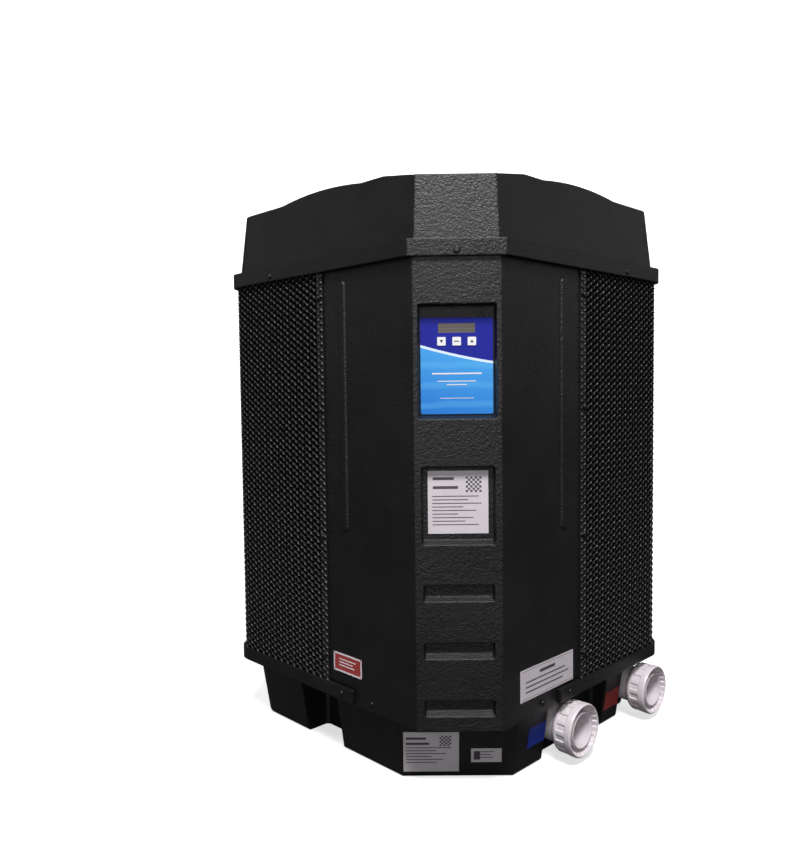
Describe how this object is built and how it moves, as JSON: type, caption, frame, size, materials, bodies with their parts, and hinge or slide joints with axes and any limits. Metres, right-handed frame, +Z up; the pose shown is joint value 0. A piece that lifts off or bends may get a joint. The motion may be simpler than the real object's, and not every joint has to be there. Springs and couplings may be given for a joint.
{
  "type": "pool heat pump",
  "caption": "Upright air-source pool water heater: black cabinet on a moulded base, mesh-guarded coil, top fan cowl, front keypad, two pipe unions.",
  "frame": {"origin": "on the floor, under the middle of the square cabinet", "axes": "+Z up; -Y out of the narrow front facet with the keypad; +X to a viewer's right; the two front faces lie at 45 degrees"},
  "size_m": [0.9736, 0.8973, 1.139],
  "materials": {
    "casing_plastic": "pebbled moulded black",
    "guard_black": "black coated mesh",
    "galvanised": "galvanised sheet",
    "motor_paint": "black paint",
    "fan_plastic": "moulded",
    "aluminium": "cast",
    "coil_fins": "finned",
    "copper": "drawn copper",
    "brass": "machined",
    "titanium": "drawn titanium",
    "rubber": "moulded",
    "screw_steel": "black oxide",
    "exchanger_plastic": "moulded",
    "white_pvc": "moulded white PVC",
    "electrical_plastic": "moulded",
    "transformer_core": "varnished laminations",
    "board_green": "solder mask",
    "face_overlay": "printed polyester overlay",
    "lcd_glass": "display window",
    "button_white": "moulded",
    "label_white": "vinyl label",
    "label_red": "vinyl label",
    "label_blue": "vinyl label"
  },
  "bodies": {
    "cabinet": {"accumulator": "motor_paint", "base_pan": "casing_plastic", "bulkhead": "galvanised", "capacitor": "aluminium", "compressor": "motor_paint", "compressor_bolts": "screw_steel", "compressor_grommets": "rubber", "contactor": "electrical_plastic", "control_board": "board_green", "control_box": "galvanised", "control_face": "face_overlay", "cowl_screws": "screw_steel", "discharge_line": "copper", "evaporator_coil": "coil_fins", "exchanger_cap": "exchanger_plastic", "exchanger_shell": "exchanger_plastic", "expansion_valve": "brass", "fan_guard": "guard_black", "fan_motor": "motor_paint", "feed_line": "copper", "filter_drier": "copper", "front_panel": "casing_plastic", "guard_screws": "screw_steel", "inlet_connector": "white_pvc", "inlet_oring": "rubber", "inlet_pipe": "white_pvc", "inlet_tag": "label_blue", "inlet_tail": "white_pvc", "lcd_module": "board_green", "lcd_window": "lcd_glass", "left_guard": "guard_black", "left_panel_post": "galvanised", "liquid_line": "copper", "motor_mount": "galvanised", "notice_label": "label_white", "outlet_connector": "white_pvc", "outlet_oring": "rubber", "outlet_pipe": "white_pvc", "outlet_tag": "label_red", "outlet_tail": "white_pvc", "panel_screws": "screw_steel", "rating_labels": "label_white", "rear_post": "galvanised", "return_bends": "copper", "right_guard": "guard_black", "right_panel_post": "galvanised", "suction_line": "copper", "terminal_block": "electrical_plastic", "terminal_cover": "fan_plastic", "titanium_coil": "titanium", "top_cowl": "casing_plastic", "transformer": "transformer_core", "warning_sticker": "label_red"},
    "fan": {"fan_hub": "aluminium", "fan_blades": "fan_plastic"},
    "key_down": {"button_down": "button_white"},
    "key_mode": {"button_mode": "button_white"},
    "key_up": {"button_up": "button_white"},
    "outlet_ring": {"outlet_nut": "white_pvc"},
    "inlet_ring": {"inlet_nut": "white_pvc"}
  },
  "joints": [
    {"name": "fan_spin", "type": "hinge", "parent": "cabinet", "child": "fan", "pos_m": [0, 0, 1.016], "axis": [0, 0, 1], "continuous": true},
    {"name": "button_down_press", "type": "slide", "parent": "cabinet", "child": "key_down", "axis": [0, 1, 0], "range_m": [0, 0.0008], "stiffness_N_per_m": 600, "springref_m": -0.0006},
    {"name": "button_mode_press", "type": "slide", "parent": "cabinet", "child": "key_mode", "axis": [0, 1, 0], "range_m": [0, 0.0008], "stiffness_N_per_m": 600, "springref_m": -0.0006},
    {"name": "button_up_press", "type": "slide", "parent": "cabinet", "child": "key_up", "axis": [0, 1, 0], "range_m": [0, 0.0008], "stiffness_N_per_m": 600, "springref_m": -0.0006},
    {"name": "outlet_nut_spin", "type": "hinge", "parent": "cabinet", "child": "outlet_ring", "pos_m": [0.43982, -0.05515, 0.066], "axis": [0.7071, -0.7071, 0], "continuous": true},
    {"name": "inlet_nut_spin", "type": "hinge", "parent": "cabinet", "child": "inlet_ring", "pos_m": [0.23688, -0.25809, 0.066], "axis": [0.7071, -0.7071, 0], "continuous": true}
  ]
}
